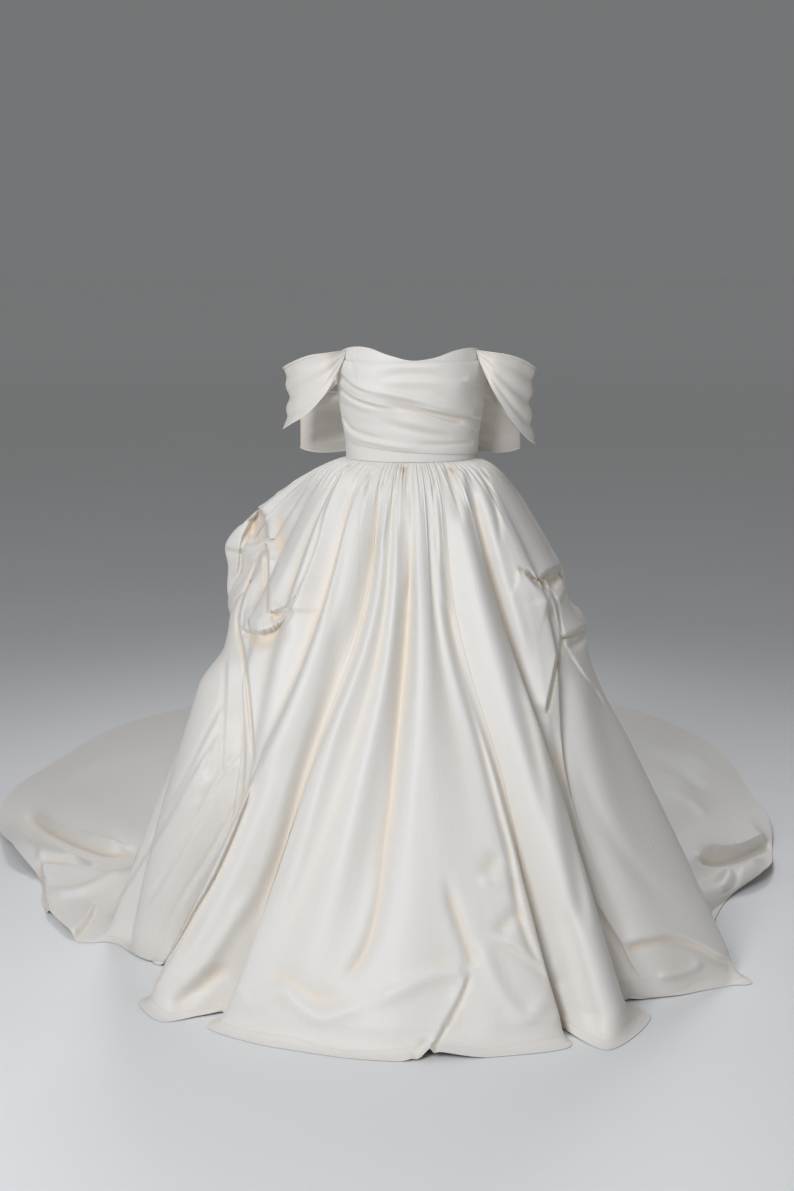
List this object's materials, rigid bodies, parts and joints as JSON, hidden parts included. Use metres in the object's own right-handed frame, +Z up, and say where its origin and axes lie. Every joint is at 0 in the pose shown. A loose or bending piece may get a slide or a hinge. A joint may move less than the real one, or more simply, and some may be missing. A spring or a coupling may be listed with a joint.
{
  "type": "off-the-shoulder wedding dress",
  "caption": "Ball gown with a draped sweetheart bodice, off-the-shoulder sleeve bands, gathered skirt, puffed hips, back bow and long train.",
  "frame": {"origin": "middle of the waist seam, where the wearer's waist carries the dress", "axes": "+Z up along the body, -Y out of the front, +Y to the rear along the train, +X to the viewer's right in the front view"},
  "size_m": [2.0931, 3.2875, 1.3429],
  "materials": {
    "satin": "ivory duchess satin with a soft sheen"
  },
  "bodies": {
    "root": {"bodice_front": "satin", "bodice_back_left": "satin", "bodice_back_right": "satin", "bodice_drape": "satin", "sleeve_left": "satin", "sleeve_right": "satin", "bow_loop_left": "satin", "bow_loop_right": "satin", "bow_knot": "satin", "skirt_front": "satin", "skirt_side_left": "satin", "skirt_side_right": "satin", "train_left": "satin", "train_right": "satin"}
  },
  "joints": []
}
